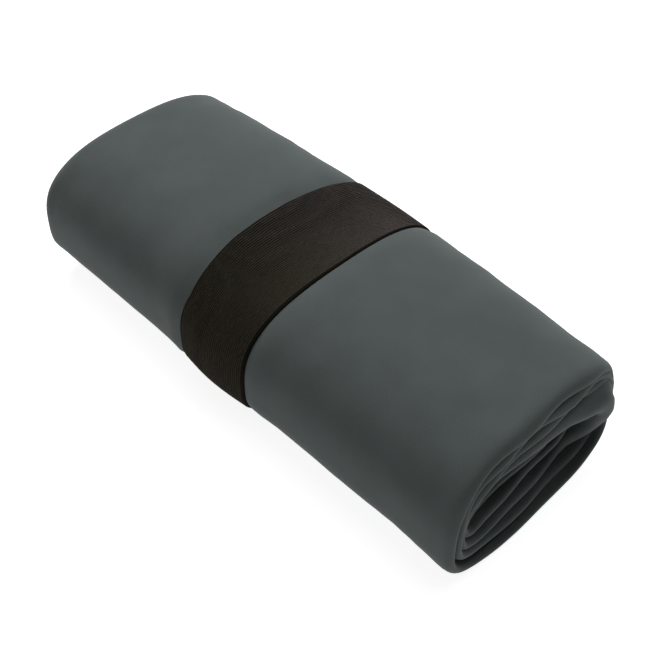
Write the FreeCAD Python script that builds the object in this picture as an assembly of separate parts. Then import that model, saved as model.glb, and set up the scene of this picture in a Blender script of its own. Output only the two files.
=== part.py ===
"""Quick dry travel towel, folded in three, rolled flat and held by a wide elastic loop.

Millimetres. The roll lies along X, Z is up, and the origin is under the middle of the roll,
on the surface that it lies on. The loose end of the cloth, with its sewn hem, lies along the
+Y side. The cloth is a soft part, so its rolled turns are one closed solid here.
"""
import FreeCAD, Part
import math
import os

# --- the towel as it is rolled up ---------------------------------------------------------
roll_length = 240.0         # along X: a 700 mm wide towel folded in three
roll_width = 104.0          # along Y
roll_height = 54.5          # from the underside of the roll to the top of its crown
end_rounding = 5.0          # how far the turns round over at the two ends
corner_radius = 18.0        # of the four soft corners of the section
underside_flat = 28.0       # width of the flat stretch that the roll lies on
crown_flat = 0.0            # the top is one long arc, so it has no flat stretch

# --- the hem at the loose end of the cloth ------------------------------------------------
hem_height = 20.0           # of the loose end's edge above the underside of the roll
hem_width = 12.0            # of the folded and sewn strip
wrap_step = 3.6             # thickness of the last turn: three layers with their hems
hem_recess = 0.6            # the sewn hem lies this much lower than the cloth above it

# --- the elastic loop ---------------------------------------------------------------------
band_width = 40.0           # along X
band_thickness = 1.4
band_gap = 0.3              # clearance all round the roll
band_centre = -7.0          # X of the middle of the loop, nearer the far end
lap_start = 25.0            # degrees below the +Y side, where the lapped end starts
lap_end = 65.0              # degrees below the +Y side, where it stops

# --- sewing thread ------------------------------------------------------------------------
thread_width = 0.5
thread_height = 0.35        # how far a stitch stands out of what it sews
hem_stitch = 2.2            # length of one stitch of the hem
hem_stitch_pitch = 3.0
hem_seam_inset = 3.0        # from the seam to the upper edge of the hem
hem_seam_end = 6.0          # the seam stops this far before each end of the roll
lap_stitch = 1.6            # length of one stitch of the loop's seam
lap_stitch_pitch = 2.4
lap_seam_edge = 2.0         # from the seam's ends to the selvedges
lap_seam_angles = (34.0, 45.0, 56.0)    # one row of stitches at each of these angles

# --- places worked out from the sizes above -----------------------------------------------
roll_bottom = band_thickness + band_gap         # the loop passes under the roll
widest_low = roll_bottom + hem_height           # the +Y side is upright from here ...
widest_high = widest_low + hem_width            # ... up to here
roll_top = roll_bottom + roll_height
lower_height = hem_height
upper_height = roll_top - widest_high
lower_radius = min(corner_radius, 0.9 * lower_height)
upper_radius = min(corner_radius, 0.9 * upper_height)
end_radius = min(end_rounding, 0.4 * lower_radius)


def point(x, y, z):
    return FreeCAD.Vector(x, y, z)


def on_circle(x, centre, radius, angle, side, up):
    """The point of a circle at an angle from the Y axis, mirrored to its side of the roll."""
    y = centre[0] + radius * math.cos(angle)
    z = centre[1] + radius * math.sin(angle)
    return point(x, side * y, z if up > 0 else 2 * widest_low - z)


def arc_of(x, centre, radius, first, last, side, up):
    angles = (first, (first + last) / 2, last)
    ends = [on_circle(x, centre, radius, angle, side, up) for angle in angles]
    return Part.Arc(*ends).toShape()


def quarter(x, half_width, height, radius, flat, side, up):
    """Two tangent arcs, from the upright side of the section to its flat top or underside."""
    level = widest_high if up > 0 else widest_low
    across = half_width - radius - flat / 2
    rise = height - radius
    reach = (across ** 2 + rise ** 2) / (2 * rise)
    turn = math.acos(across / reach)
    corner_centre = (half_width - radius, level)
    long_radius = radius + reach
    long_centre = (flat / 2, level + height - long_radius)
    return [
        arc_of(x, corner_centre, radius, 0.0, turn, side, up),
        arc_of(x, long_centre, long_radius, turn, math.pi / 2, side, up),
    ]


def section(x, grow):
    """The closed outline of the roll at x, moved outwards by grow."""
    half_width = roll_width / 2 + grow
    edges = []
    for side in (-1, 1):
        edges += quarter(x, half_width, lower_height + grow, lower_radius + grow,
                         underside_flat, side, -1)
        edges += quarter(x, half_width, upper_height + grow, upper_radius + grow,
                         crown_flat, side, 1)
        upright = (point(x, side * half_width, widest_low), point(x, side * half_width, widest_high))
        edges.append(Part.LineSegment(*upright).toShape())
    for level, flat in ((roll_bottom - grow, underside_flat), (roll_top + grow, crown_flat)):
        if flat > 0:
            ends = (point(x, -flat / 2, level), point(x, flat / 2, level))
            edges.append(Part.LineSegment(*ends).toShape())
    return Part.Wire(Part.__sortEdges__(edges))


def prism(start, length, grow):
    return Part.Face(section(start, grow)).extrude(point(length, 0, 0))


def box(x_range, y_range, z_range):
    corner = point(x_range[0], y_range[0], z_range[0])
    sizes = [high - low for low, high in (x_range, y_range, z_range)]
    return Part.makeBox(*sizes, corner)


def rounded_roll():
    """The whole roll, with the edges of its two ends rounded over."""
    roll = prism(-roll_length / 2, roll_length, 0.0)
    rims = []
    for edge in roll.Edges:
        ends = edge.BoundBox
        if ends.XLength < 1e-6:
            rims.append(edge)
    return roll.makeFillet(end_radius, rims)


def towel_cloth(roll):
    """The rolled cloth, stepped in below the edge of its loose end on the +Y side."""
    outside = roll_width
    step_face = roll_width / 2 - wrap_step
    cut = box((-roll_length, roll_length), (step_face, outside), (-1.0, widest_high))
    return roll.cut(cut)


def tail_hem(roll):
    """The folded and sewn strip along the edge of the loose end."""
    y_range = (roll_width / 2 - wrap_step, roll_width / 2 - hem_recess)
    strip = box((-roll_length, roll_length), y_range, (widest_low, widest_high))
    return roll.common(strip)


def tail_hem_stitching():
    """One straight row of stitches along the hem."""
    face = roll_width / 2 - hem_recess
    level = widest_high - hem_seam_inset
    seam = roll_length - 2 * hem_seam_end
    count = int(seam // hem_stitch_pitch)
    first = -(count - 1) * hem_stitch_pitch / 2
    stitches = []
    for index in range(count):
        middle = first + index * hem_stitch_pitch
        stitches.append(box(
            (middle - hem_stitch / 2, middle + hem_stitch / 2),
            (face, face + thread_height),
            (level - thread_width / 2, level + thread_width / 2),
        ))
    return Part.makeCompound(stitches)


def lap_corner():
    """Centre of the lower +Y corner, which the lapped end of the elastic lies round."""
    return (roll_width / 2 - lower_radius, widest_low)


def lap_layer(inner, outer, start, end, x_range):
    """A curved sheet round the lower +Y corner, between two radii and two angles."""
    centre = lap_corner()
    first = math.radians(start)
    last = math.radians(end)
    x = x_range[0]
    outer_arc = arc_of(x, centre, outer, first, last, 1, -1)
    inner_arc = arc_of(x, centre, inner, first, last, 1, -1)
    sides = []
    for angle in (first, last):
        ends = [on_circle(x, centre, radius, angle, 1, -1) for radius in (inner, outer)]
        sides.append(Part.LineSegment(*ends).toShape())
    wire = Part.Wire(Part.__sortEdges__([outer_arc, inner_arc] + sides))
    return Part.Face(wire).extrude(point(x_range[1] - x_range[0], 0, 0))


band_range = (band_centre - band_width / 2, band_centre + band_width / 2)
band_outer_radius = lower_radius + band_gap + band_thickness


def elastic_band():
    """The elastic strip, closed into a loop with its ends lapped at the lower +Y corner."""
    outer = prism(band_range[0], band_width, band_gap + band_thickness)
    inner = prism(band_range[0], band_width, band_gap)
    loop = outer.cut(inner)
    middle = band_outer_radius - band_thickness / 2
    lap = lap_layer(middle, band_outer_radius + band_thickness, lap_start, lap_end, band_range)
    return loop.fuse(lap).removeSplitter()


def band_seam_stitching():
    """Rows of stitches across the lap, from one selvedge of the elastic to the other."""
    surface = band_outer_radius + band_thickness
    half_angle = math.degrees(thread_width / 2 / surface)
    seam = band_width - 2 * lap_seam_edge
    count = int(seam // lap_stitch_pitch)
    first = band_centre - (count - 1) * lap_stitch_pitch / 2
    stitches = []
    for angle in lap_seam_angles:
        for index in range(count):
            middle = first + index * lap_stitch_pitch
            stitches.append(lap_layer(
                surface, surface + thread_height,
                angle - half_angle, angle + half_angle,
                (middle - lap_stitch / 2, middle + lap_stitch / 2),
            ))
    return Part.makeCompound(stitches)


def main():
    roll = rounded_roll()
    nodes = {
        "towel_cloth": towel_cloth(roll),
        "tail_hem": tail_hem(roll),
        "tail_hem_stitching": tail_hem_stitching(),
        "elastic_band": elastic_band(),
        "band_seam_stitching": band_seam_stitching(),
    }
    os.makedirs("parts", exist_ok=True)
    for name, shape in nodes.items():
        box_of = shape.BoundBox
        print(name, "solids", len(shape.Solids), "valid", shape.isValid(),
              "volume", round(shape.Volume), "z", round(box_of.ZMin, 3), round(box_of.ZMax, 3),
              "y", round(box_of.YMin, 3), round(box_of.YMax, 3))
        shape.exportStep("parts/" + name + ".step")


main()
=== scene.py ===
"""A quick dry travel towel: thin microfibre cloth folded in three, rolled flat, and held by a
wide elastic loop. The cloth is one real sheet, wound and folded as the real one is."""

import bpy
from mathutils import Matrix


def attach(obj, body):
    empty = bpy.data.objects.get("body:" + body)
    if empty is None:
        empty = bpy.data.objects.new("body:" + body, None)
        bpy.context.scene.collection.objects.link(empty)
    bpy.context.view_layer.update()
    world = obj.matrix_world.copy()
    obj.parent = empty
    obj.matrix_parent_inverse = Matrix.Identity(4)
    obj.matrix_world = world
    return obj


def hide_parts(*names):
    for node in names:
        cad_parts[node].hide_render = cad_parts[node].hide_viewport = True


bl_info = {
    "name": "Rolled quick dry towel",
    "version": (1, 0, 0),
    "blender": (4, 5, 0),
    "location": "View3D > Sidebar > Towel",
    "description": "Builds a rolled travel towel, its elastic loop, its sewing and a studio",
    "category": "Add Mesh",
}

import math

import bpy
import numpy as np
from bpy.props import FloatProperty, FloatVectorProperty, PointerProperty
from mathutils import Matrix, Vector

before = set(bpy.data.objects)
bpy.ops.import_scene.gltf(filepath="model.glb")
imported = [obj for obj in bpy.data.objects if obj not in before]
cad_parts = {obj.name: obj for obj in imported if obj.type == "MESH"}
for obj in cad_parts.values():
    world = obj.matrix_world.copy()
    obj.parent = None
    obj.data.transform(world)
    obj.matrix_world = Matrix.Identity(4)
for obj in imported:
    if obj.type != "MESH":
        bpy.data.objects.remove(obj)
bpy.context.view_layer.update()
MM = 0.001
TOWEL_BODY = "rolled_towel"
BAND_BODY = "elastic_loop"


def linear_colour(hex_code):
    """An sRGB hex colour as linear red, green, blue and alpha."""
    channels = [int(hex_code[i:i + 2], 16) / 255 for i in (1, 3, 5)]
    return [c / 12.92 if c <= 0.04045 else ((c + 0.055) / 1.055) ** 2.4 for c in channels] + [1.0]


def length_property(name, millimetres, description):
    return FloatProperty(name=name, description=description, default=millimetres * MM,
                         unit="LENGTH", precision=5)


def share_property(name, value, description):
    return FloatProperty(name=name, description=description, default=value, precision=4)


def colour_property(name, hex_code, description):
    return FloatVectorProperty(name=name, description=description, subtype="COLOR", size=4,
                               min=0.0, max=1.0, default=linear_colour(hex_code))


# --- what a user can change ------------------------------------------------------------------
class TowelRollSettings(bpy.types.PropertyGroup):
    """The outside shape of the roll."""
    length: length_property("Length", 240.8, "Along the roll, from fold to fold")
    width: length_property("Width", 105.7, "Across the roll, before the elastic changes it")
    height: length_property("Height", 58.0, "From the floor to the top of the crown")
    widest_level: share_property("Widest level", 0.421, "Share of the height where it is widest")
    side_power: share_property("Side squareness", 2.82, "Power of the section's curve across")
    crown_power: share_property("Crown squareness", 2.79, "Power of the upper curve")
    under_power: share_property("Underside squareness", 3.13, "Power of the lower curve")
    width_taper: share_property("Width taper", -0.02, "Growth of the width towards the near end")
    width_ends: share_property("Width at the ends", -0.061, "Growth of the width at both ends")
    height_taper: share_property("Height taper", 0.021, "Growth of the height to the near end")
    held_spread: share_property("Spread when held", 0.056, "Growth of the width at the elastic")
    held_press: share_property("Press when held", 0.043, "Loss of height at the elastic")
    held_reach: length_property("Reach of the hold", 24.0, "How far the elastic changes it")
    bow: length_property("Bow", -3.1, "Sideways bend of both ends")
    far_skew: share_property("Far skew", -0.005, "Slant of the far end across the roll")
    held_skew: share_property("Held skew", -0.016, "Slant of the elastic across the roll")
    near_skew: share_property("Near skew", -0.068, "Slant of the near end across the roll")
    near_rounding: length_property("Near rounding", 7.0, "How far the near edge rounds over")
    far_rounding: length_property("Far rounding", 4.1, "How far the far edge rounds over")


class TowelClothSettings(bpy.types.PropertyGroup):
    """The sheet, and how it is folded and wound."""
    flat_width: length_property("Flat width", 700.0, "Folded in three along the roll")
    flat_length: length_property("Flat length", 1000.0, "Wound up in the roll")
    thickness: length_property("Thickness", 0.9, "Of one layer of microfibre")
    layer_pitch: length_property("Layer pitch", 1.45, "From one layer of the fold to the next")
    turn_pitch: length_property("Turn pitch", 5.1, "From one turn of the roll to the next")
    near_fold: length_property("Near fold", 2.4, "How far the fold at the near end bulges")
    far_fold: length_property("Far fold", 1.3, "How far the fold at the far end bulges")
    loose_end: length_property("Loose end", 21.0, "Height of the loose end above the floor")
    hem_width: length_property("Hem width", 12.0, "Of the folded and sewn edge")
    hem_thickness: length_property("Hem thickness", 1.35, "Of the folded and sewn edge")
    colour: colour_property("Cloth", "#414746", "Slate grey-green of the dyed cloth")
    thread: colour_property("Thread", "#3b4140", "Sewing thread, dyed to match")


class TowelBandSettings(bpy.types.PropertyGroup):
    """The elastic loop."""
    width: length_property("Width", 40.0, "Of the woven elastic")
    thickness: length_property("Thickness", 1.4, "Of the woven elastic with its ribs")
    centre: length_property("Centre", -7.1, "Place of the loop along the roll")
    rib_pitch: length_property("Rib pitch", 1.0, "From one rib of the weave to the next")
    lap: length_property("Lap", 15.0, "Length of the sewn overlap")
    colour: colour_property("Elastic", "#2a2720", "Brown-black of the elastic")
    thread: colour_property("Thread", "#191612", "Sewing thread of the lap")


class TowelStitchSettings(bpy.types.PropertyGroup):
    """The sewing."""
    hem_pitch: length_property("Hem stitch", 3.0, "Length of a stitch with its gap")
    hem_stitch: length_property("Hem stitch shown", 2.3, "Length of the thread on top")
    lap_pitch: length_property("Lap stitch", 1.5, "Length of one leg of the zigzag, along it")
    thread_radius: length_property("Thread radius", 0.22, "Of the sewing thread")


class TowelStageSettings(bpy.types.PropertyGroup):
    """Camera, floor and lights."""
    azimuth: FloatProperty(name="Azimuth", description="Camera's angle round the roll",
                           default=math.radians(47.49), subtype="ANGLE")
    elevation: FloatProperty(name="Elevation", description="Camera's angle above the floor",
                             default=math.radians(45.3), subtype="ANGLE")
    tilt: FloatProperty(name="Tilt", description="Camera's turn about its own axis",
                        default=-0.005, subtype="ANGLE")
    distance: length_property("Distance", 519.8, "From the camera to what it looks at")
    lens: FloatProperty(name="Lens", description="Focal length on a 36 mm sensor, in mm",
                        default=71.48)
    look_x: length_property("Look at X", 16.3, "Where the camera looks, along the roll")
    look_y: length_property("Look at Y", -10.6, "Where the camera looks, across the roll")
    look_z: length_property("Look at Z", 28.8, "Where the camera looks, above the floor")


# --- small tools -----------------------------------------------------------------------------
def add_node(tree, kind, inputs=None, links=None, **attributes):
    """Adds a node with its settings, input values and links, laid out in columns of four."""
    node = tree.nodes.new(kind)
    column, row = divmod(len(tree.nodes), 4)
    node.location = (220 * column - 2000, -260 * row)
    for name, value in attributes.items():
        setattr(node, name, value)
    for key, value in (inputs or {}).items():
        node.inputs[key].default_value = value
    for key, source in (links or {}).items():
        tree.links.new(source, node.inputs[key])
    return node


def smooth_step(value):
    value = np.clip(value, 0.0, 1.0)
    return value * value * (3.0 - 2.0 * value)


def signed_power(value, power):
    return np.sign(value) * np.abs(value) ** power


def mesh_object(name, points, faces, material):
    mesh = bpy.data.meshes.new(name)
    mesh.from_pydata([tuple(p) for p in points], [], [tuple(f) for f in faces])
    mesh.materials.append(material)
    mesh.polygons.foreach_set("use_smooth", [True] * len(mesh.polygons))
    obj = bpy.data.objects.new(name, mesh)
    bpy.context.scene.collection.objects.link(obj)
    return obj


def grid_normals(points, closed_rows=False):
    """Unit normals of a grid of points, rows first."""
    if closed_rows:
        down = np.roll(points, -1, 0) - np.roll(points, 1, 0)
    else:
        down = np.gradient(points, axis=0)
    across = np.gradient(points, axis=1)
    normals = np.cross(down, across)
    return normals / np.maximum(np.linalg.norm(normals, axis=2, keepdims=True), 1e-12)


def thick_sheet(points, thickness, closed_rows=False):
    """A closed shell round a grid of middle points: its points, faces and grid addresses.

    The face on the side of the normals comes first, then the other side, then the rims."""
    rows, columns = points.shape[:2]
    normals = grid_normals(points, closed_rows)
    half = np.broadcast_to(np.asarray(thickness, float) / 2, (rows, columns))[..., None]
    vertices = np.concatenate([(points + half * normals).reshape(-1, 3),
                               (points - half * normals).reshape(-1, 3)])
    index = np.arange(rows * columns).reshape(rows, columns)
    under = index + rows * columns
    last = rows if closed_rows else rows - 1
    faces = []
    for r in range(last):
        s = (r + 1) % rows
        for c in range(columns - 1):
            faces.append((index[r, c], index[s, c], index[s, c + 1], index[r, c + 1]))
            faces.append((under[r, c], under[r, c + 1], under[s, c + 1], under[s, c]))
        faces.append((index[r, 0], under[r, 0], under[s, 0], index[s, 0]))
        faces.append((index[s, -1], under[s, -1], under[r, -1], index[r, -1]))
    if not closed_rows:
        for c in range(columns - 1):
            faces.append((index[0, c], index[0, c + 1], under[0, c + 1], under[0, c]))
            faces.append((index[-1, c + 1], index[-1, c], under[-1, c], under[-1, c + 1]))
    address = np.concatenate([index.ravel(), index.ravel()])
    return vertices, faces, address


def give_uv(obj, along, across, address):
    """A UV map in metres of cloth, from the sheet's own two lengths."""
    layer = obj.data.uv_layers.new(name="cloth")
    vertex_of = np.zeros(len(obj.data.loops), int)
    obj.data.loops.foreach_get("vertex_index", vertex_of)
    place = address[vertex_of]
    uv = np.stack([across.ravel()[place], along.ravel()[place]], 1)
    layer.data.foreach_set("uv", uv.astype(np.float32).ravel())


# --- the shape of the roll -------------------------------------------------------------------
# The far selvedge of the elastic isn't straight: it bows out on top and is drawn in at the
# shoulder. Each pair gives a place across the roll and a move along it, in millimetres.
FAR_SELVEDGE = ((-56.0, 1.5), (-48.0, 2.8), (-37.0, 1.0), (-22.0, -1.4), (-6.0, -2.4),
                (8.0, -2.3), (22.0, -1.2), (36.0, 0.0), (56.0, 0.0))


CORE_LEVEL = 0.47           # share of the height at which the middle of the winding lies
DENT_EDGE = 3.0 * MM        # width of the slope beside the elastic, down into its dent
DENT_ROOM = 0.12 * MM       # between the elastic and the cloth under it


class RollShape:
    """Turns a place in the wound cloth into a point: x along the roll, a share of a turn round
    it, counted from its +Y side over the top, and a depth below its outside."""

    def __init__(self, scene):
        self.roll = scene.towel_roll
        self.cloth = scene.towel_cloth
        self.band = scene.towel_band
        angles = np.linspace(0.0, 2 * math.pi, 5761)
        y, z, _ = self.outline(np.zeros_like(angles), angles)
        steps = np.hypot(np.diff(y), np.diff(z))
        self.angles = angles
        self.around = np.concatenate([[0.0], np.cumsum(steps)]) / steps.sum()
        self.perimeter = steps.sum()
        self.core_half = self.roll.width / 2 - self.roll.height / 2

    def outline(self, x, angle):
        """Y and Z of the outside at x, and the height there."""
        roll = self.roll
        share = 2 * x / roll.length
        held = np.exp(-(((x - self.band.centre) / roll.held_reach) ** 2))
        spread = roll.width_taper * share + roll.width_ends * share ** 2 + roll.held_spread * held
        half_width = roll.width / 2 * (1 + spread)
        height = roll.height * (1 + roll.height_taper * share - roll.held_press * held)
        cosine, sine = np.cos(angle), np.sin(angle)
        lower = height * roll.widest_level
        upper = height - lower
        y = half_width * signed_power(cosine, 2 / roll.side_power)
        above = upper * signed_power(np.maximum(sine, 0), 2 / roll.crown_power)
        below = lower * signed_power(np.minimum(sine, 0), 2 / roll.under_power)
        return y, lower + above + below, height

    def end_drop(self, x):
        """How far the outside has rounded inwards near either end."""
        total = 0.0
        for sign, radius in ((1, self.roll.near_rounding), (-1, self.roll.far_rounding)):
            into = np.clip(sign * x - (self.roll.length / 2 - radius), 0, 0.96 * radius)
            total = total + radius - np.sqrt(radius ** 2 - into ** 2)
        return total

    def slant(self, x):
        """Share of y by which a place moves along the roll."""
        roll, centre = self.roll, self.band.centre
        far = (x + roll.length / 2) / (centre + roll.length / 2)
        near = (x - centre) / (roll.length / 2 - centre)
        before = roll.far_skew + (roll.held_skew - roll.far_skew) * far
        after = roll.held_skew + (roll.near_skew - roll.held_skew) * near
        return np.where(x < centre, before, after)

    def place(self, x, around, depth, dented=True):
        """The point, or array of points, in the frame."""
        roll = self.roll
        angle = np.interp(around % 1.0, self.around, self.angles)
        y, z, height = self.outline(x, angle)
        ratio = y / self.core_half
        core_y = y / (1 + ratio ** 4) ** 0.25
        core_z = height * CORE_LEVEL
        half = height / 2
        drop = self.end_drop(x) * (0.7 + 0.3 * np.sin(angle))   # it rounds over most on top
        if dented:
            drop = drop + self.dent(x, y, z)
        share = (depth + drop * (1 - depth / half)) / half
        y = core_y + (1 - share) * (y - core_y)
        z = core_z + (1 - share) * (z - core_z)
        slanted = x + self.slant(x) * y
        y = y + roll.bow * (2 * x / roll.length) ** 2
        return np.stack(np.broadcast_arrays(slanted, y, z), -1)

    def far_selvedge(self, y, z):
        """How far along the roll the band's far selvedge has crept, above the lower third."""
        places, lengths = np.array(FAR_SELVEDGE).T * MM
        return np.interp(y, places, lengths) * smooth_step(z / (0.3 * self.roll.height))

    def dent(self, x, y, z):
        """How far the elastic sinks into the cloth."""
        from_centre = x - self.band.centre
        half_width = self.band.width / 2 - np.where(
            from_centre < 0, self.far_selvedge(y, z), 0.0)
        inside = half_width + DENT_EDGE - np.abs(from_centre)
        return (self.band.thickness + DENT_ROOM) * smooth_step(inside / DENT_EDGE)

    def around_at_height(self, z):
        """Share of a turn of the place on the +Y side at that height."""
        angles = np.linspace(-math.pi / 2, math.pi / 2, 2001)
        level = self.outline(np.zeros_like(angles), angles)[1]
        angle = np.interp(z, level, angles) % (2 * math.pi)
        return float(np.interp(angle, self.angles, self.around))


# --- the sheet, folded in three and wound ----------------------------------------------------
STEP_START = 0.70           # share of each turn after which it drops one pitch inwards
CORE_ROOM = 0.8 * MM        # left clear at the middle of the winding
ROW_STEP = 6.5 * MM         # from row to row where the cloth is flat
ROW_TURN = math.radians(15)     # from row to row where it bends


def step_sizes(path):
    """Length of each step of a path round the roll, and how much the path turns before it."""
    steps = np.diff(path[:, 1:], axis=0)
    heading = np.unwrap(np.arctan2(steps[:, 1], steps[:, 0]))
    turning = np.abs(np.diff(heading, prepend=heading[0]))
    return np.hypot(steps[:, 0], steps[:, 1]), turning


class Winding:
    """Where each row of the wound sheet lies: turns from the loose end, and cloth length."""

    def __init__(self, shape):
        self.shape = shape
        cloth = shape.cloth
        self.x, self.layer, self.width = fold_path(cloth, shape.roll)
        self.start = shape.around_at_height(cloth.loose_end)
        half = shape.roll.height / 2
        inner_layer = cloth.thickness / 2 + 2 * cloth.layer_pitch
        most_turns = (half - inner_layer - CORE_ROOM) / cloth.turn_pitch
        turns = np.linspace(0.0, most_turns, 12001)
        path = shape.place(np.zeros_like(turns), self.around(turns), self.depth(turns))
        self.turns = turns
        self.distance, self.turning = step_sizes(path)
        self.length = np.concatenate([[0.0], np.cumsum(self.distance)])
        self.total = min(cloth.flat_length, self.length[-1])

    def around(self, turns):
        return self.start + turns

    def depth(self, turns):
        """Depth of the outer layer's outer face, which drops by one pitch in each turn."""
        whole = np.floor(turns)
        step = smooth_step((turns - whole - STEP_START) / (1 - STEP_START))
        return self.shape.cloth.turn_pitch * (whole + step)

    def rows(self, start):
        """Turns from the loose end for each row from the start, a length of cloth. Rows are
        closer together where the cloth bends, and on the outermost turn, which shows."""
        finer = np.where(self.turns[:-1] < 1.0, 1.45, 0.88)
        weight = finer * (self.distance / ROW_STEP + self.turning / ROW_TURN)
        summed = np.concatenate([[0.0], np.cumsum(weight)])
        first = np.interp(start, self.length, summed)
        last = np.interp(self.total, self.length, summed)
        wanted = np.linspace(first, last, max(3, int(round(last - first)) + 1))
        return np.interp(wanted, summed, self.turns)

    def turns_at(self, length):
        return np.interp(length, self.length, self.turns)


def spaced(places, weights, count):
    """The given number of places, closer together where the weights between them are large."""
    summed = np.concatenate([[0.0], np.cumsum(weights)])
    return np.interp(np.linspace(0, summed[-1], count), summed, places)


def run(start, end, step, near_step, near_reach):
    """Places from start to end, with shorter steps within near_reach of either end."""
    span = abs(end - start)
    fine = np.linspace(0.0, span, 4001)
    from_end = np.minimum(fine, span - fine)
    size = near_step + (step - near_step) * smooth_step(from_end / near_reach)
    weights = np.diff(fine) / size[:-1]
    along = spaced(fine, weights, int(round(weights.sum())) + 1)
    return start + np.sign(end - start) * along


def bend(count, start, reach, first_depth, last_depth):
    """A fold: places along the roll and depths between two layers, ends left out."""
    angle = np.linspace(0, math.pi, count + 2)[1:-1]
    middle, half = (first_depth + last_depth) / 2, (last_depth - first_depth) / 2
    return start + reach * np.sin(angle) ** 0.8, middle - half * np.cos(angle)


def fold_path(cloth, roll):
    """Across the sheet: place along the roll, depth below the outer face, and cloth width.

    It starts at the cloth's edge inside the near fold, runs back as the middle layer, folds
    into the outer layer, and folds again at the near end into the inner layer."""
    outer = cloth.thickness / 2
    middle = outer + cloth.layer_pitch
    inner = middle + cloth.layer_pitch
    near = roll.length / 2 - cloth.near_fold
    far = -roll.length / 2 + cloth.far_fold
    parts = [
        (run(near - 2 * MM, far, 9 * MM, 3 * MM, 12 * MM), middle),
        bend(6, far, -cloth.far_fold, middle, outer),
        (run(far, near, 4.4 * MM, 1.5 * MM, 22 * MM), outer),
        bend(9, near, cloth.near_fold, outer, inner),
        (run(near, far + 2.5 * MM, 9 * MM, 1.8 * MM, 16 * MM), inner),
    ]
    x = np.concatenate([places for places, _ in parts])
    depth = np.concatenate([np.broadcast_to(layer, places.shape) for places, layer in parts])
    width = np.concatenate([[0.0], np.cumsum(np.hypot(np.diff(x), np.diff(depth)))])
    return x, depth, width


def ripple(seed, along, around, waves, size):
    """A smooth uneven height, the same after a whole turn."""
    random = np.random.RandomState(seed)
    total = 0.0
    for _ in range(7):
        turns = random.randint(0, waves + 1)
        pace = random.uniform(0.3, 1.0) * waves / (100 * MM)
        phase = random.uniform(0, 2 * math.pi, 2)
        total = total + np.sin(2 * math.pi * (pace * along) + phase[0]) * np.cos(
            2 * math.pi * turns * around + phase[1])
    return size * total / 3.5


# How the turns lie at the near end, where they have slipped. Each list gives turns from the
# loose end and a length in millimetres: how far a turn has slid out, how deep its outer face
# lies, and how far its fold stands open, between its outer and inner layers.
NEAR_SLID = ((0.0, -4.4), (0.06, -3.7), (0.13, -2.8), (0.3, -2.6), (0.48, -2.6), (0.64, -2.2),
             (0.74, 0.1), (0.82, -0.5), (0.9, -1.0), (0.96, -0.6), (1.0, -3.0), (1.06, -3.2),
             (1.13, -2.4),
             (1.3, -2.5), (1.5, -2.6), (1.62, -3.2), (1.75, -3.3), (1.9, -5.0), (2.0, -5.0),
             (2.06, -4.0), (2.13, -2.2), (2.3, -2.4), (2.5, -3.2), (2.62, -4.6), (2.75, -5.4),
             (2.9, -9.0), (2.965, -5.0), (3.02, 0.2), (3.09, 0.4), (3.2, -1.0), (3.28, -2.4),
             (3.4, -3.8), (3.5, -4.6), (3.75, -7.8), (4.0, -10.0), (4.5, -10.0), (6.0, -11.0))
NEAR_DEPTH = ((0.0, -0.9), (0.08, -0.4), (0.2, 0.0), (0.5, -0.6), (0.62, -1.6), (0.72, -0.2),
              (0.85, 0.1), (0.93, 0.3), (1.0, 0.7), (1.08, 1.2), (1.14, 3.2), (1.25, 4.1),
              (1.5, 3.6), (1.64, 5.4), (1.8, 5.0), (1.92, 3.0), (2.0, 2.2), (2.08, 2.4),
              (2.14, 6.2), (2.25, 8.2), (2.5, 7.6), (2.75, 10.2), (2.92, 6.0), (3.0, 3.2),
              (3.06, 3.0), (3.1, 4.6), (3.15, 9.4), (3.25, 12.2), (3.5, 12.0), (3.75, 15.8),
              (3.95, 19.5), (4.1, 22.5), (4.25, 19.6), (4.5, 17.2), (4.75, 20.6), (6.0, 25.0))
NEAR_OPEN = ((0.0, 2.9), (2.85, 2.9), (2.96, 9.0), (3.04, 14.0), (3.11, 11.0), (3.18, 8.0),
             (3.25, 4.8), (3.33, 2.9), (6.0, 2.9))
NEAR_REACH = 30 * MM        # how far in from the near end the turns have slipped
FAR_REACH = 35 * MM         # the same at the far end, where they lie neatly
FAR_SLIDE = 0.5 * MM        # how far each turn there stands back from the one outside it
BULGE_GROWTH = 0.28         # how much further a fold bulges when it stands open


def along_turns(knots, turns):
    """A smooth length at each number of turns, through the knots."""
    places, lengths = np.array(knots).T
    total = 0.0
    for shift in (-0.02, -0.01, 0.0, 0.01, 0.02):
        total = total + np.interp(turns + shift, places, lengths)
    return total / 5 * MM


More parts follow.
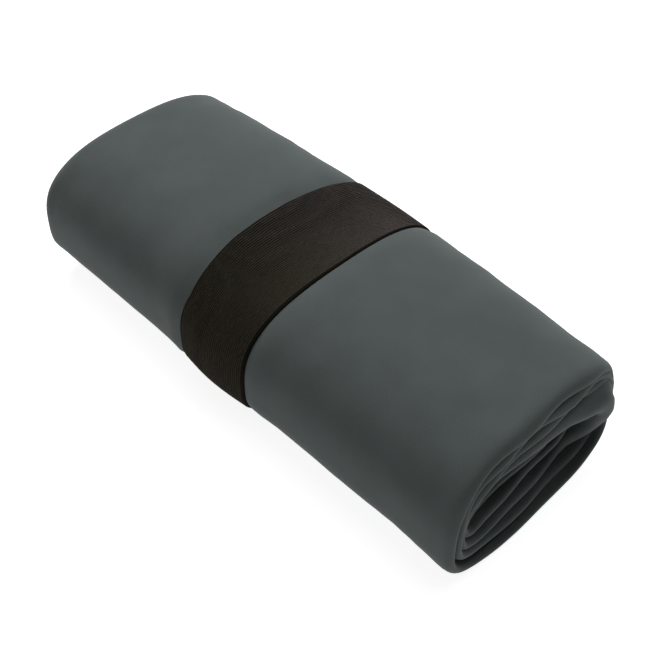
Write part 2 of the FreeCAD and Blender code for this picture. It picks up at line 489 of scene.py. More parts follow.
def lay_sheet(winding, turns, x, depth):
    """Middle points of the cloth for rows of turns and columns of places and depths."""
    shape, cloth = winding.shape, winding.shape.cloth
    rows = turns[:, None]
    places = np.broadcast_to(x[None, :], (len(turns), len(x)))
    around = winding.around(rows)
    half_length = shape.roll.length / 2
    at_near = smooth_step((places - half_length + NEAR_REACH) / NEAR_REACH)
    at_far = smooth_step((-places - half_length + FAR_REACH) / FAR_REACH)
    slid_near = (along_turns(NEAR_SLID, rows) + ripple(3, rows * 0.1, 0.0, 3, 0.6 * MM)
                 + ripple(17, rows * 0.1, 0.0, 10, 0.7 * MM))
    slid_far = FAR_SLIDE * rows + ripple(5, rows * 0.1, 0.0, 3, 0.8 * MM)
    opened = along_turns(NEAR_OPEN, rows) / (2 * cloth.layer_pitch)
    fold_start = half_length - cloth.near_fold
    bulged = np.maximum(places - fold_start, 0) * BULGE_GROWTH * (opened - 1)
    moved = places + at_near * slid_near + at_far * slid_far + bulged
    even = winding.depth(rows) + depth[None, :]
    outer = cloth.thickness / 2
    slipped = along_turns(NEAR_DEPTH, rows) + outer + (depth[None, :] - outer) * opened
    uneven = ripple(23, rows * 0.1, 0.0, 9, 0.7 * MM) * smooth_step(rows)
    depths = even + at_near * (slipped + uneven - even)
    soft = ripple(11, moved, around, 4, 0.28 * MM) + ripple(29, moved, around, 12, 0.14 * MM)
    points = shape.place(moved, around, depths + soft)
    points[..., 2] = np.maximum(points[..., 2], cloth.thickness / 2)    # it rests on the floor
    return points


def sheet_piece(name, winding, material, turns, x, depth, widths, thickness):
    """A stretch of the cloth as a piece of its own, with the cloth's own UV map in metres."""
    points = lay_sheet(winding, turns, x, depth)
    vertices, faces, address = thick_sheet(points, thickness)
    obj = mesh_object(name, vertices, faces, material)
    lengths = np.interp(turns, winding.turns, winding.length)
    give_uv(obj, *np.broadcast_arrays(lengths[:, None], widths[None, :]), address)
    return obj


def build_cloth(scene, material):
    winding = Winding(RollShape(scene))
    return sheet_piece("towel_cloth_sheet", winding, material, winding.rows(start=2 * MM),
                       winding.x, winding.layer, winding.width, scene.towel_cloth.thickness)


# --- the hems --------------------------------------------------------------------------------
HEM_STANDS_OUT = 0.3 * MM   # the side hem reaches this far past the cloth's edge inside it


def hem_thickness(cloth, from_edge, to_inside):
    """A rounded outer edge, an even strip, and a small step down to the single cloth."""
    edge = 0.7 * MM
    round_share = np.sqrt(np.clip(1 - (1 - np.clip(from_edge / edge, 0, 1)) ** 2, 0.12, 1))
    inside = smooth_step(to_inside / (1.0 * MM))
    full = cloth.hem_thickness
    return round_share * (cloth.thickness + (full - cloth.thickness) * inside)


def build_loose_hem(scene, material):
    """The folded and sewn hem of the cloth's loose end, on all three layers of the fold."""
    winding = Winding(RollShape(scene))
    cloth = scene.towel_cloth
    edge = np.array([0.0, 0.12, 0.3, 0.7, 1.4]) * MM
    inner = cloth.hem_width - np.array([1.6, 1.0, 0.5, 0.0]) * MM
    lengths = np.concatenate([edge, np.linspace(2.6 * MM, inner[0] - 1 * MM, 5), inner])
    thickness = hem_thickness(cloth, lengths, cloth.hem_width - lengths)
    return sheet_piece("loose_end_hem", winding, material, winding.turns_at(lengths),
                       winding.x, winding.layer, winding.width, thickness[:, None])


def build_side_hem(scene, material):
    """The hem of the inner layer's long edge, which winds through the far end of the roll."""
    winding = Winding(RollShape(scene))
    cloth = scene.towel_cloth
    from_edge = np.array([12.0, 11.0, 8.5, 5.0, 2.0, 0.7, 0.3, 0.12, 0.0]) * MM
    widths = winding.width[-1] + HEM_STANDS_OUT - from_edge
    places = winding.x[-1] - HEM_STANDS_OUT + from_edge
    layer = np.full(len(places), winding.layer[-1])
    thickness = hem_thickness(cloth, from_edge, cloth.hem_width - from_edge)
    return sheet_piece("side_hem", winding, material, winding.rows(start=3 * MM), places, layer,
                       widths, thickness[None, :])


# --- sewing, made by node trees --------------------------------------------------------------
SEAM_END_INSET = 4 * MM     # the hem's seam stops this far before each end of the roll
HEM_SEAM_INSET = 3 * MM     # from the seam to the inner edge of the hem


def new_tree(name, inputs):
    """A geometry node tree with its named inputs, and the sockets that give their values."""
    tree = bpy.data.node_groups.new(name, "GeometryNodeTree")
    tree.interface.new_socket("Geometry", in_out="OUTPUT", socket_type="NodeSocketGeometry")
    tree.interface.new_socket("Geometry", in_out="INPUT", socket_type="NodeSocketGeometry")
    for label, kind in inputs.items():
        tree.interface.new_socket(label, in_out="INPUT", socket_type="NodeSocket" + kind)
    source = add_node(tree, "NodeGroupInput").outputs
    return tree, source


def finish_tree(tree, geometry, material):
    """Ends a tree in real geometry with its material."""
    real = add_node(tree, "GeometryNodeRealizeInstances", links={0: geometry})
    smooth = add_node(tree, "GeometryNodeSetShadeSmooth", links={0: real.outputs[0]})
    finish = add_node(tree, "GeometryNodeSetMaterial",
                      links={"Geometry": smooth.outputs[0], "Material": material})
    add_node(tree, "NodeGroupOutput", links={0: finish.outputs[0]})


def running_stitch_tree():
    """Short threads lying end to end along a seam, each a little rounded."""
    tree, source = new_tree("Running stitch", {
        "Pitch": "Float", "Stitch": "Float", "Radius": "Float", "Material": "Material"})
    points = add_node(tree, "GeometryNodeCurveToPoints", mode="LENGTH",
                      links={"Curve": source["Geometry"], "Length": source["Pitch"]})
    turned = add_node(tree, "FunctionNodeAlignRotationToVector", axis="X",
                      links={"Vector": points.outputs["Tangent"]})
    ball = add_node(tree, "GeometryNodeMeshUVSphere",
                    inputs={"Segments": 8, "Rings": 6, "Radius": 1.0})
    half = add_node(tree, "ShaderNodeMath", operation="MULTIPLY", links={0: source["Stitch"]},
                    inputs={1: 0.5})
    size = add_node(tree, "ShaderNodeCombineXYZ",
                    links={0: half.outputs[0], 1: source["Radius"], 2: source["Radius"]})
    thread = add_node(tree, "GeometryNodeTransform",
                      links={"Geometry": ball.outputs["Mesh"], "Scale": size.outputs[0]})
    placed = add_node(tree, "GeometryNodeInstanceOnPoints",
                      links={"Points": points.outputs["Points"],
                             "Instance": thread.outputs["Geometry"],
                             "Rotation": turned.outputs["Rotation"]})
    finish_tree(tree, placed.outputs[0], source["Material"])
    return tree


def laid_thread_tree():
    """One continuous thread along a path, as in a zigzag seam."""
    tree, source = new_tree("Laid thread", {"Radius": "Float", "Material": "Material"})
    ring = add_node(tree, "GeometryNodeCurvePrimitiveCircle", inputs={"Resolution": 6},
                    links={"Radius": source["Radius"]})
    thread = add_node(tree, "GeometryNodeCurveToMesh",
                      links={"Curve": source["Geometry"], "Profile Curve": ring.outputs[0]},
                      inputs={"Fill Caps": True})
    finish_tree(tree, thread.outputs[0], source["Material"])
    return tree


def seam_curve(name, paths):
    """A curve object with one straight-run spline for each list of points."""
    curve = bpy.data.curves.new(name, "CURVE")
    curve.dimensions = "3D"
    for points in paths:
        spline = curve.splines.new("POLY")
        spline.points.add(len(points) - 1)
        spline.points.foreach_set("co", np.c_[points, np.ones(len(points))].ravel())
    obj = bpy.data.objects.new(name, curve)
    bpy.context.scene.collection.objects.link(obj)
    return obj


def run_tree(source, tree, values, name):
    """The tree's result on a source object as a plain mesh object; the source goes."""
    modifier = source.modifiers.new(name, "NODES")
    modifier.node_group = tree
    for item in tree.interface.items_tree:
        if item.item_type == "SOCKET" and item.in_out == "INPUT" and item.name in values:
            modifier[item.identifier] = values[item.name]
    bpy.context.view_layer.update()
    evaluated = source.evaluated_get(bpy.context.evaluated_depsgraph_get())
    mesh = bpy.data.meshes.new_from_object(evaluated)
    if not mesh.polygons:
        raise RuntimeError(name + " came out empty")
    obj = bpy.data.objects.new(name, mesh)
    bpy.context.scene.collection.objects.link(obj)
    source.modifiers.clear()
    bpy.data.objects.remove(source)
    return obj


def build_hem_stitching(scene, material):
    """The straight seam along the hem of the loose end."""
    winding = Winding(RollShape(scene))
    cloth, stitch = scene.towel_cloth, scene.towel_stitch
    outermost = winding.layer <= cloth.thickness / 2 + 1e-6
    seam = outermost & (np.abs(winding.x) < scene.towel_roll.length / 2 - SEAM_END_INSET)
    turns = winding.turns_at(np.array([cloth.hem_width - HEM_SEAM_INSET]))
    lifted = winding.layer[seam] - cloth.hem_thickness / 2 - 0.25 * stitch.thread_radius
    path = lay_sheet(winding, turns, winding.x[seam], lifted)[0]
    curve = seam_curve("hem_seam_path", [path])
    values = {"Pitch": stitch.hem_pitch, "Stitch": stitch.hem_stitch,
              "Radius": stitch.thread_radius, "Material": material}
    return run_tree(curve, running_stitch_tree(), values, "loose_hem_stitches")


# --- the elastic loop ------------------------------------------------------------------------
BAND_BACKING = 1.1 * MM     # thickness of the loop without its ribs
LAP_MIDDLE = 0.925          # share of a turn where the overlap is sewn: the lower +Y corner
RIB_RADIUS = 0.43           # share of the rib pitch
PLAIN_EDGE = 1.2 * MM       # of each selvedge, which has no ribs
LAP_SEAM_END = 2.0 * MM     # from the ends of the lap's seams to the selvedges
LAP_SEAM_INSET = 3.2 * MM   # from each seam to its end of the overlap
ZIGZAG_HALF = 1.1 * MM      # how far the zigzag swings to each side


def band_point(shape, x, around, depth):
    return shape.place(x, around, depth, dented=False)


def band_sheet(shape, around, lift):
    """Middle points and thickness of a backing strip, selvedge to selvedge."""
    band = shape.band
    inset = np.array([0.0, 0.18, 0.5, 1.1, 2.2]) * MM
    half = band.width / 2
    middle = np.linspace(-half + 4 * MM, half - 4 * MM, 15)
    across = np.concatenate([-half + inset, middle, (half - inset)[::-1]])
    depth = band.thickness - BAND_BACKING / 2 - lift
    points = band_point(shape, band.centre + across[None, :], around[:, None], depth)
    from_edge = half - np.abs(across)
    rounding = np.sqrt(np.clip(1 - (1 - np.clip(from_edge / (0.5 * MM), 0, 1)) ** 2, 0.25, 1))
    return points, BAND_BACKING * rounding


def elastic_rib_tree():
    """Ribs side by side across a backing strip, each drawn in as the loop is."""
    tree, source = new_tree("Elastic ribs", {
        "Rib path": "Object", "Ribs": "Int", "Pitch": "Float", "Radius": "Float",
        "Centre": "Float", "Reach": "Float", "Spread": "Float", "Press": "Float",
        "Material": "Material"})
    path = add_node(tree, "GeometryNodeObjectInfo", links={"Object": source["Rib path"]})
    length = add_node(tree, "GeometryNodeSplineParameter")
    marked = add_node(tree, "GeometryNodeStoreNamedAttribute", data_type="FLOAT", domain="POINT",
                      inputs={"Name": "along"},
                      links={"Geometry": path.outputs["Geometry"],
                             "Value": length.outputs["Length"]})
    ring = add_node(tree, "GeometryNodeCurvePrimitiveCircle", inputs={"Resolution": 6},
                    links={"Radius": source["Radius"]})
    rib = add_node(tree, "GeometryNodeCurveToMesh",
                   links={"Curve": marked.outputs[0], "Profile Curve": ring.outputs[0]})
    position = add_node(tree, "GeometryNodeInputPosition")
    split = add_node(tree, "ShaderNodeSeparateXYZ", links={0: position.outputs[0]})
    # Each step of the sums has a name, what it does, and what it does it to.
    made = {"from centre": split.outputs[0]}
    for name, operation, *terms in (
            ("gaps", "SUBTRACT", source["Ribs"], 1.0),
            ("span", "MULTIPLY", "gaps", source["Pitch"]),
            ("first", "MULTIPLY", "span", -0.5),
            ("share", "DIVIDE", "from centre", source["Reach"]),
            ("squared", "MULTIPLY", "share", "share"),
            ("minus squared", "MULTIPLY", "squared", -1.0),
            ("held", "EXPONENT", "minus squared"),
            ("spread", "MULTIPLY", source["Spread"], "held"),
            ("width here", "ADD", "spread", 1.0),
            ("width at centre", "ADD", source["Spread"], 1.0),
            ("width", "DIVIDE", "width here", "width at centre"),
            ("press", "MULTIPLY", source["Press"], -1.0),
            ("pressed", "MULTIPLY", "press", "held"),
            ("height here", "ADD", "pressed", 1.0),
            ("height at centre", "ADD", "press", 1.0),
            ("height", "DIVIDE", "height here", "height at centre")):
        sockets = {i: made.get(term, term) for i, term in enumerate(terms)}
        numbers = {i: value for i, value in sockets.items() if isinstance(value, float)}
        made[name] = add_node(tree, "ShaderNodeMath", operation=operation, inputs=numbers, links={
            i: value for i, value in sockets.items() if i not in numbers}).outputs[0]
    start = add_node(tree, "ShaderNodeCombineXYZ", links={0: made["first"]})
    pitch = add_node(tree, "ShaderNodeCombineXYZ", links={0: source["Pitch"]})
    places = add_node(tree, "GeometryNodeMeshLine", mode="OFFSET",
                      links={"Count": source["Ribs"], "Start Location": start.outputs[0],
                             "Offset": pitch.outputs[0]})
    scale = add_node(tree, "ShaderNodeCombineXYZ", inputs={0: 1.0},
                     links={1: made["width"], 2: made["height"]})
    ribs = add_node(tree, "GeometryNodeInstanceOnPoints",
                    links={"Points": places.outputs[0], "Instance": rib.outputs[0],
                           "Scale": scale.outputs[0]})
    move = add_node(tree, "ShaderNodeCombineXYZ", links={0: source["Centre"]})
    moved = add_node(tree, "GeometryNodeTransform",
                     links={"Geometry": ribs.outputs[0], "Translation": move.outputs[0]})
    joined = add_node(tree, "GeometryNodeJoinGeometry", links={"Geometry": moved.outputs[0]})
    tree.links.new(source["Geometry"], joined.inputs["Geometry"])
    finish_tree(tree, joined.outputs[0], source["Material"])
    return tree


def band_rounds(shape, start, end, count):
    """Shares of a turn from start to end, closer together at the corners."""
    fine = np.linspace(start, end, 4001)
    path = band_point(shape, np.full_like(fine, shape.band.centre), fine, 0.0)
    distance, turning = step_sizes(path)
    return spaced(fine, distance / (3 * MM) + turning / math.radians(8), count)


def build_band(scene, material):
    """The woven strip, closed into a loop with its end lapped over at the lower +Y corner."""
    shape = RollShape(scene)
    band = scene.towel_band
    half_lap = band.lap / shape.perimeter / 2
    rounds = band_rounds(shape, 0.0, 1.0, 190)[:-1]
    lap = band_rounds(shape, LAP_MIDDLE - half_lap, LAP_MIDDLE + half_lap, 16)
    strips, paths = [], []
    radius = RIB_RADIUS * band.rib_pitch
    for around, lift, closed in ((rounds, 0.0, True), (lap, -band.thickness, False)):
        points, thickness = band_sheet(shape, around, -lift)
        strips.append(thick_sheet(points, thickness[None, :], closed))
        centre = np.zeros_like(around)
        crest = band_point(shape, centre + band.centre, around, radius + lift)
        crest[:, 0] -= band.centre
        paths.append(crest)
    vertices = np.concatenate([strip[0] for strip in strips])
    offset = len(strips[0][0])
    faces = list(strips[0][1]) + [tuple(np.array(f) + offset) for f in strips[1][1]]
    backing = mesh_object("band_backing", vertices, faces, material)
    path = seam_curve("rib_path", paths)
    path.data.splines[0].use_cyclic_u = True
    place_along(backing, shape)
    values = {"Rib path": path, "Ribs": int(round((band.width - 2 * PLAIN_EDGE) / band.rib_pitch)),
              "Pitch": band.rib_pitch, "Radius": radius, "Centre": band.centre,
              "Reach": scene.towel_roll.held_reach, "Spread": scene.towel_roll.held_spread,
              "Press": scene.towel_roll.held_press, "Material": material}
    loop = run_tree(backing, elastic_rib_tree(), values, "elastic_loop_woven")
    bpy.data.objects.remove(path)
    creep_selvedge(loop, shape)
    return loop


def points_of_loop(obj, shape):
    """The points of a piece of the loop, and how far across the strip each one lies."""
    points = np.zeros(len(obj.data.vertices) * 3)
    obj.data.vertices.foreach_get("co", points)
    points = points.reshape(-1, 3)
    return points, points[:, 0] - shape.band.centre - shape.roll.held_skew * points[:, 1]


def creep_selvedge(loop, shape):
    """Moves the far half of the loop with its selvedge."""
    points, across = points_of_loop(loop, shape)
    share = np.clip(-across / (shape.band.width / 2), 0, 1)
    points[:, 0] += share * shape.far_selvedge(points[:, 1], points[:, 2])
    loop.data.vertices.foreach_set("co", points.ravel())
    loop.data.update()


def place_along(obj, shape):
    """Keeps each point's distance round the loop and across it on the mesh, for the weave."""
    points, across = points_of_loop(obj, shape)
    angle = np.arctan2(points[:, 2] - CORE_LEVEL * shape.roll.height, points[:, 1])
    along = (angle % (2 * math.pi)) / (2 * math.pi) * shape.perimeter
    for name, lengths in (("along", along), ("across", across)):
        attribute = obj.data.attributes.new(name, "FLOAT", "POINT")
        attribute.data.foreach_set("value", lengths.astype(np.float32))


def build_lap_stitching(scene, material):
    """Zigzag rows across the overlap, from selvedge to selvedge."""
    shape = RollShape(scene)
    band, stitch = scene.towel_band, scene.towel_stitch
    half = band.width / 2 - LAP_SEAM_END
    legs = int(2 * half / stitch.lap_pitch)
    across = np.linspace(-half, half, legs + 1)
    side = np.where(np.arange(legs + 1) % 2 == 0, 1.0, -1.0)
    paths = []
    for row in (-1, 1):
        centre = LAP_MIDDLE + row * (band.lap / 2 - LAP_SEAM_INSET) / shape.perimeter
        around = centre + side * ZIGZAG_HALF / shape.perimeter
        lift = -band.thickness - 0.6 * stitch.thread_radius
        paths.append(band_point(shape, band.centre + across, around, lift))
    curve = seam_curve("lap_seam_path", paths)
    values = {"Radius": 0.9 * stitch.thread_radius, "Material": material}
    return run_tree(curve, laid_thread_tree(), values, "lap_zigzag_stitches")


# --- materials -------------------------------------------------------------------------------
def new_material(name, values):
    """A material, its tree and its surface, whose sockets take the given values."""
    material = bpy.data.materials.new(name)
    material.use_nodes = True
    tree = material.node_tree
    surface = tree.nodes["Principled BSDF"]
    for socket, value in {"Metallic": 0.0, "IOR": 1.5, **values}.items():
        surface.inputs[socket].default_value = value
    return material, tree, surface


def finish_surface(tree, surface, colour, height, strength, relief):
    """Gives a surface its colour, and a relief of the given depth in metres."""
    bump = add_node(tree, "ShaderNodeBump", links={"Height": height},
                    inputs={"Strength": strength, "Distance": relief})
    tree.links.new(colour, surface.inputs["Base Color"])
    tree.links.new(bump.outputs[0], surface.inputs["Normal"])


CLOTH_SHEEN = 0.12
HEM_SHEEN = 0.1             # its nap is pressed flat by the sewing
HEM_SHADE = 0.96


def scaled_colour(colour, share):
    return [channel * share for channel in colour[:3]] + [1.0]


def brushed_microfibre(name, colour, sheen):
    """Split-fibre polyester knit, brushed to a short suede nap. It is matt, with a soft pale
    sheen where it turns away, faint rows of knit, and a mottle where the nap lies both ways."""
    knit_row = 0.85 * MM            # such rows are finer, and are drawn coarser so that they show
    nap_grain = 0.7 * MM
    brushed_patch = 16 * MM
    material, tree, surface = new_material(name, {
        "Roughness": 0.92, "Specular IOR Level": 0.22, "Sheen Weight": sheen,
        "Sheen Roughness": 0.45, "Sheen Tint": (0.80, 0.86, 0.88, 1.0)})
    cloth_map = add_node(tree, "ShaderNodeUVMap", uv_map="cloth")
    place = add_node(tree, "ShaderNodeTexCoord")
    rows = add_node(tree, "ShaderNodeTexWave", wave_type="BANDS", bands_direction="Y",
                    links={"Vector": cloth_map.outputs[0]},
                    inputs={"Scale": 0.314 / knit_row, "Distortion": 1.6, "Detail": 2.0,
                            "Detail Scale": 2.5})
    nap = add_node(tree, "ShaderNodeTexNoise", links={"Vector": place.outputs["Object"]},
                   inputs={"Scale": 1 / nap_grain, "Detail": 3.0, "Roughness": 0.6})
    patches = add_node(tree, "ShaderNodeTexNoise", links={"Vector": place.outputs["Object"]},
                       inputs={"Scale": 1 / brushed_patch, "Detail": 2.0, "Roughness": 0.5})
    mixed = add_node(tree, "ShaderNodeMath", operation="MULTIPLY_ADD",
                     links={0: nap.outputs[0], 2: patches.outputs[0]}, inputs={1: 0.5})
    shaded = add_node(tree, "ShaderNodeMapRange", links={0: mixed.outputs[0]},
                      inputs={1: 0.55, 2: 0.95})
    tint = add_node(tree, "ShaderNodeMix", data_type="RGBA", links={0: shaded.outputs[0]},
                    inputs={6: scaled_colour(colour, 0.93), 7: scaled_colour(colour, 1.07)})
    height = add_node(tree, "ShaderNodeMath", operation="MULTIPLY_ADD",
                      links={0: rows.outputs["Fac"], 2: nap.outputs[0]}, inputs={1: 0.14})
    finish_surface(tree, surface, tint.outputs[2], height.outputs[0], 0.45, 0.16 * MM)
    return material


def spun_polyester_thread(name, colour):
    """Two-ply spun polyester, twisted, with a slight dull gloss along each ply."""
    ply = 0.35 * MM
    material, tree, surface = new_material(name, {"Roughness": 0.6, "Sheen Weight": 0.1})
    place = add_node(tree, "ShaderNodeTexCoord")
    twist = add_node(tree, "ShaderNodeTexWave", wave_type="BANDS", bands_direction="DIAGONAL",
                     links={"Vector": place.outputs["Object"]},
                     inputs={"Scale": 0.314 / ply, "Distortion": 0.6})
    tint = add_node(tree, "ShaderNodeMix", data_type="RGBA", links={0: twist.outputs["Fac"]},
                    inputs={6: scaled_colour(colour, 0.75), 7: scaled_colour(colour, 1.15)})
    finish_surface(tree, surface, tint.outputs[2], twist.outputs["Fac"], 0.5, 0.05 * MM)
    return material


def woven_elastic(name, colour, band):
    """Textured polyester woven over rubber cords. The cords make ribs along the strip, the
    crossing yarn makes short steps along each rib, and the yarn is dull and full of lint. Its
    selvedges are darkened, partly their own dark edge and partly painted shade of the gap beside
    them. It is painted paler towards the +Y side, a painted highlight where the back light falls."""
    crossing_yarn = 0.9 * MM        # drawn coarser than such yarn is, so that it shows
    lint = 0.45 * MM
    # selvedges darkened: partly their own dark edge, partly painted shade of the gap beside the
    # cloth and of the lit rim
    dark_edge_and_shade = (band.width / 2 - 1.7 * MM, band.width / 2 - 1.0 * MM)
    # painted highlight: the elastic is painted paler and slightly mauve towards +Y, where the back
    # light falls
    painted_highlight_reach = (-25 * MM, 45 * MM)
    painted_highlight_cast = (1.9, 1.85, 2.4, 1.0)
    material, tree, surface = new_material(name, {
        "Roughness": 0.8, "Specular IOR Level": 0.02, "Sheen Weight": 0.02,
        "Sheen Roughness": 0.4, "Sheen Tint": (1.0, 0.86, 0.92, 1.0)})
    along = add_node(tree, "ShaderNodeAttribute", attribute_name="along")
    place = add_node(tree, "ShaderNodeTexCoord")
    split = add_node(tree, "ShaderNodeSeparateXYZ", links={0: place.outputs["Object"]})
    rib = add_node(tree, "ShaderNodeMath", operation="DIVIDE", links={0: split.outputs[0]},
                   inputs={1: 2 * band.rib_pitch})
    step = add_node(tree, "ShaderNodeMath", operation="DIVIDE", links={0: along.outputs["Fac"]},
                    inputs={1: crossing_yarn})
    woven = add_node(tree, "ShaderNodeCombineXYZ", links={0: step.outputs[0], 1: rib.outputs[0]})
    checks = add_node(tree, "ShaderNodeTexBrick", offset=0.5, links={"Vector": woven.outputs[0]},
                      inputs={"Scale": 1.0, "Mortar Size": 0.09, "Mortar Smooth": 1.0,
                              "Brick Width": 1.0, "Row Height": 0.5, "Color1": (1, 1, 1, 1),
                              "Color2": (0.55, 0.55, 0.55, 1), "Mortar": (0.1, 0.1, 0.1, 1)})
    fluff = add_node(tree, "ShaderNodeTexNoise", links={"Vector": place.outputs["Object"]},
                     inputs={"Scale": 1 / lint, "Detail": 3.0, "Roughness": 0.65})
    share = add_node(tree, "ShaderNodeMath", operation="MULTIPLY",
                     links={0: checks.outputs["Color"], 1: fluff.outputs[0]})
    tint = add_node(tree, "ShaderNodeMix", data_type="RGBA", links={0: share.outputs[0]},
                    inputs={6: scaled_colour(colour, 0.40), 7: scaled_colour(colour, 2.20)})
    # painted highlight: share of the paler cast, growing towards +Y
    highlight_share = add_node(tree, "ShaderNodeMapRange", links={0: split.outputs[1]},
                     inputs={1: painted_highlight_reach[0], 2: painted_highlight_reach[1]})
    painted_highlight = add_node(tree, "ShaderNodeMix", data_type="RGBA", blend_type="MULTIPLY",
                      inputs={7: painted_highlight_cast}, links={0: highlight_share.outputs[0], 6: tint.outputs[2]})
    across = add_node(tree, "ShaderNodeAttribute", attribute_name="across")
    distance = add_node(tree, "ShaderNodeMath", operation="ABSOLUTE",
                        links={0: across.outputs["Fac"]})
    # painted shade, with the selvedge's own darker tone: darkens the colour near both edges
    selvedge = add_node(tree, "ShaderNodeMapRange", links={0: distance.outputs[0]},
                        inputs={1: dark_edge_and_shade[0], 2: dark_edge_and_shade[1]})
    finished = add_node(tree, "ShaderNodeMix", data_type="RGBA",
                        inputs={7: scaled_colour(colour, 0.22)},
                        links={0: selvedge.outputs[0], 6: painted_highlight.outputs[2]})
    height = add_node(tree, "ShaderNodeMath", operation="MULTIPLY_ADD",
                      links={0: fluff.outputs[0], 2: checks.outputs["Color"]}, inputs={1: 0.5})
    finish_surface(tree, surface, finished.outputs[2], height.outputs[0], 0.6, 0.15 * MM)
    return material


def light_table_floor():
    """Opal acrylic light table: it glows faintly, so that shadows on it stay pale, and its
    tone is a little uneven."""
    material, tree, surface = new_material("Opal acrylic light table", {
        "Roughness": 0.95, "Specular IOR Level": 0.0, "Emission Color": (1.0, 1.0, 1.0, 1.0),
        "Emission Strength": FLOOR_GLOW})
    place = add_node(tree, "ShaderNodeTexCoord")
    roller = add_node(tree, "ShaderNodeTexNoise", links={"Vector": place.outputs["Object"]},
                      inputs={"Scale": 40.0})
    tint = add_node(tree, "ShaderNodeMix", data_type="RGBA", links={0: roller.outputs[0]},
                    inputs={6: (0.44, 0.44, 0.44, 1.0), 7: (0.46, 0.46, 0.46, 1.0)})
    tree.links.new(tint.outputs[2], surface.inputs["Base Color"])
    return material


# --- the studio ------------------------------------------------------------------------------
FLOOR_GLOW = 0.86
SKY_STRENGTH = 0.18
FLOOR_HALF_WIDTH = 40.0     # metres, so that its edge is far behind the towel
LIGHTS = (
    # name, place in metres, size in metres, power in watts
    ("overhead_softbox", (0.15, 0.25, 1.3), 1.1, 5.5),
    ("back_softbox", (-0.9, 0.6, 1.0), 0.9, 25.0),
    ("left_softbox", (-0.9, -0.9, 1.1), 0.9, 2.2),
)


def aim(direction_back, tilt=0.0):
    """A rotation whose local Z is the given direction, upright but for the tilt."""
    back = Vector(direction_back).normalized()
    right = Vector((0, 0, 1)).cross(back).normalized()
    up = back.cross(right)
    turned_right = right * math.cos(tilt) + up * math.sin(tilt)
    turned_up = up * math.cos(tilt) - right * math.sin(tilt)
    return Matrix((turned_right, turned_up, back)).transposed().to_4x4()


def build_studio(scene):
    stage = scene.towel_stage
    camera = bpy.data.objects.new("camera", bpy.data.cameras.new("camera"))
    scene.collection.objects.link(camera)
    a, e = stage.azimuth, stage.elevation
    back = Vector((math.sin(a) * math.cos(e), -math.cos(a) * math.cos(e), math.sin(e)))
    target = Vector((stage.look_x, stage.look_y, stage.look_z))
    camera.matrix_world = Matrix.Translation(target + back * stage.distance) @ aim(
        back, stage.tilt)
    camera.data.lens = stage.lens
    camera.data.sensor_width = 36
    camera.data.clip_start = 0.01
    scene.camera = camera
    size = FLOOR_HALF_WIDTH
    corners = [(-size, -size, 0), (size, -size, 0), (size, size, 0), (-size, size, 0)]
    floor = mesh_object("studio_floor", corners, [(0, 1, 2, 3)], light_table_floor())
    for name, place, width, power in LIGHTS:
        light = bpy.data.lights.new(name, "AREA")
        light.shape = "DISK"
        light.size = width
        light.energy = power
        lamp = bpy.data.objects.new(name, light)
        scene.collection.objects.link(lamp)
        lamp.matrix_world = Matrix.Translation(place) @ aim(place)
    world = bpy.data.worlds.new("studio")
    world.use_nodes = True
    world.node_tree.nodes["Background"].inputs["Color"].default_value = (1, 1, 1, 1)
    world.node_tree.nodes["Background"].inputs["Strength"].default_value = SKY_STRENGTH
    scene.world = world
    scene.view_settings.view_transform = "Standard"


# --- operators -------------------------------------------------------------------------------
class TOWEL_OT_cloth(bpy.types.Operator):
    """Fold the sheet in three and wind it into a flat roll"""
    bl_idname = "towel.cloth"
    bl_label = "Rolled cloth"

    def execute(self, context):
        scene = context.scene
        cloth = scene.towel_cloth
        material = brushed_microfibre("Brushed microfibre", list(cloth.colour), CLOTH_SHEEN)
        sewn = brushed_microfibre("Sewn microfibre hem", scaled_colour(cloth.colour, HEM_SHADE),
                                  HEM_SHEEN)
        sheet = build_cloth(scene, material)
        loose_hem = build_loose_hem(scene, sewn)
        side_hem = build_side_hem(scene, sewn)
        for piece, slot in ((sheet, "towel_cloth"), (loose_hem, "towel_hem"),
                            (side_hem, "towel_hem")):
            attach(piece, TOWEL_BODY)
        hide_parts("towel_cloth")
        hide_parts("tail_hem")
        return {"FINISHED"}


class TOWEL_OT_hem_stitches(bpy.types.Operator):
    """Sew the hem of the loose end, which finishes the sheet"""
    bl_idname = "towel.hem_stitches"
    bl_label = "Hem stitches"

    def execute(self, context):
        scene = context.scene
        cloth = scene.towel_cloth
        thread = spun_polyester_thread("Slate polyester thread", list(cloth.thread))
        stitches = build_hem_stitching(scene, thread)
        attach(stitches, TOWEL_BODY)
        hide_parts("tail_hem_stitching")
        return {"FINISHED"}


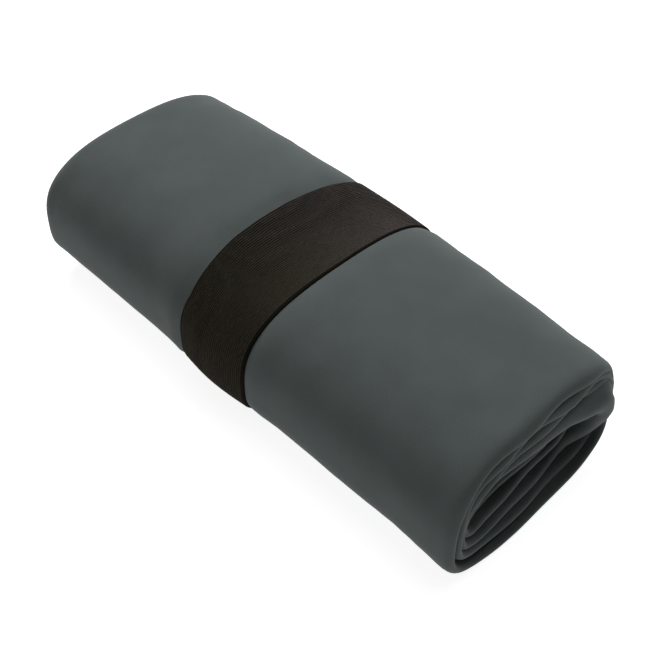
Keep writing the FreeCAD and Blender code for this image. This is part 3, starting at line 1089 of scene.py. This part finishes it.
class TOWEL_OT_band(bpy.types.Operator):
    """Weave the elastic loop round the roll and sew its lap"""
    bl_idname = "towel.band"
    bl_label = "Elastic loop"

    def execute(self, context):
        scene = context.scene
        band = scene.towel_band
        elastic = woven_elastic("Woven elastic", list(band.colour), band)
        thread = spun_polyester_thread("Black polyester thread", list(band.thread))
        loop = build_band(scene, elastic)
        zigzag = build_lap_stitching(scene, thread)
        for piece, slot, node in ((loop, "elastic", "elastic_band"),
                                  (zigzag, "elastic_thread", "band_seam_stitching")):
            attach(piece, BAND_BODY)
            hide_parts(node)
        return {"FINISHED"}


class TOWEL_OT_studio(bpy.types.Operator):
    """Set up the floor, the lights and the camera"""
    bl_idname = "towel.studio"
    bl_label = "Studio"

    def execute(self, context):
        build_studio(context.scene)
        return {"FINISHED"}


class TOWEL_PT_panel(bpy.types.Panel):
    """The steps in order, and the sizes that can be changed"""
    bl_idname = "TOWEL_PT_panel"
    bl_label = "Rolled towel"
    bl_space_type = "VIEW_3D"
    bl_region_type = "UI"
    bl_category = "Towel"

    def draw(self, context):
        for step in STEPS:
            self.layout.operator(step.bl_idname)
        for name, settings in SETTINGS.items():
            box = self.layout.box()
            box.label(text=settings.__doc__)
            group = getattr(context.scene, name)
            for key in settings.__annotations__:
                box.prop(group, key)


STEPS = (TOWEL_OT_studio, TOWEL_OT_cloth, TOWEL_OT_hem_stitches, TOWEL_OT_band)
SETTINGS = {
    "towel_roll": TowelRollSettings,
    "towel_cloth": TowelClothSettings,
    "towel_band": TowelBandSettings,
    "towel_stitch": TowelStitchSettings,
    "towel_stage": TowelStageSettings,
}


def register():
    for group in (*SETTINGS.values(), *STEPS, TOWEL_PT_panel):
        bpy.utils.register_class(group)
    for name, settings in SETTINGS.items():
        setattr(bpy.types.Scene, name, PointerProperty(type=settings))


def unregister():
    for name in SETTINGS:
        delattr(bpy.types.Scene, name)
    for group in reversed((*SETTINGS.values(), *STEPS, TOWEL_PT_panel)):
        bpy.utils.unregister_class(group)


def main():
    register()
    for step in STEPS:
        group, name = step.bl_idname.split(".")
        getattr(getattr(bpy.ops, group), name)()


if __name__ == "__main__":
    main()
